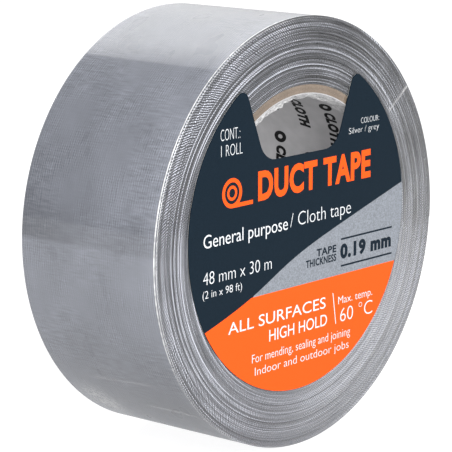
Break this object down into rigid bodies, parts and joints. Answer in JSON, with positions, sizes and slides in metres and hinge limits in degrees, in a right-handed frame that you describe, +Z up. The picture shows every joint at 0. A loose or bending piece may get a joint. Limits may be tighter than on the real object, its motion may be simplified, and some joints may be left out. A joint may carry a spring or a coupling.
{
  "type": "duct tape roll",
  "caption": "Roll of silver cloth tape on a three inch card core, with a clear shrink film, a notched disc label and a free end that peels.",
  "frame": {"origin": "on the surface the roll stands on, straight under its axis, in the middle of the tape's width", "axes": "+Y along the roll's axis towards its open back, the label faces -Y, +Z up, +X to the right seen from the front"},
  "size_m": [0.119, 0.0485, 0.1189],
  "materials": {
    "liner_paper": "smooth grey paper with a black repeating print",
    "kraft": "brown kraft board",
    "wound_tape": "grey edges of the wound turns",
    "adhesive": "tacky off-white",
    "scrim": "open cotton weave",
    "backing": "silver polyethylene, satin, with the weave showing through",
    "clear_film": "clear glossy shrink film",
    "label_glue": "clear glue",
    "label_card": "coated card printed navy, silver and orange"
  },
  "bodies": {
    "roll": {"core_liner": "liner_paper", "core_ply_inner": "kraft", "core_ply_middle": "kraft", "core_ply_outer": "kraft", "tape_winding": "wound_tape", "outer_turn_adhesive": "adhesive", "outer_turn_scrim": "scrim", "outer_turn_backing": "backing", "film_front": "clear_film", "film_tread": "clear_film", "film_back": "clear_film", "label_glue": "label_glue", "label_card": "label_card"},
    "tail_root": {"tail_root_adhesive": "adhesive", "tail_root_scrim": "scrim", "tail_root_backing": "backing"},
    "tail_mid": {"tail_mid_adhesive": "adhesive", "tail_mid_scrim": "scrim", "tail_mid_backing": "backing"},
    "tail_tip": {"tail_tip_adhesive": "adhesive", "tail_tip_scrim": "scrim", "tail_tip_backing": "backing"}
  },
  "joints": [
    {"name": "tail_peel", "type": "hinge", "parent": "roll", "child": "tail_root", "pos_m": [0.05327, 0, 0.08543], "axis": [0, -1, 0], "range_deg": [0, 45]},
    {"name": "tail_curl_mid", "type": "hinge", "parent": "tail_root", "child": "tail_mid", "pos_m": [0.05698, 0, 0.07579], "axis": [0, -1, 0], "range_deg": [0, 36]},
    {"name": "tail_curl_tip", "type": "hinge", "parent": "tail_mid", "child": "tail_tip", "pos_m": [0.05895, 0, 0.06565], "axis": [0, -1, 0], "range_deg": [0, 27]}
  ],
  "couplings": [
    {"joint": "tail_curl_mid", "follows": "tail_peel", "ratio": 0.8},
    {"joint": "tail_curl_tip", "follows": "tail_peel", "ratio": 0.6}
  ]
}
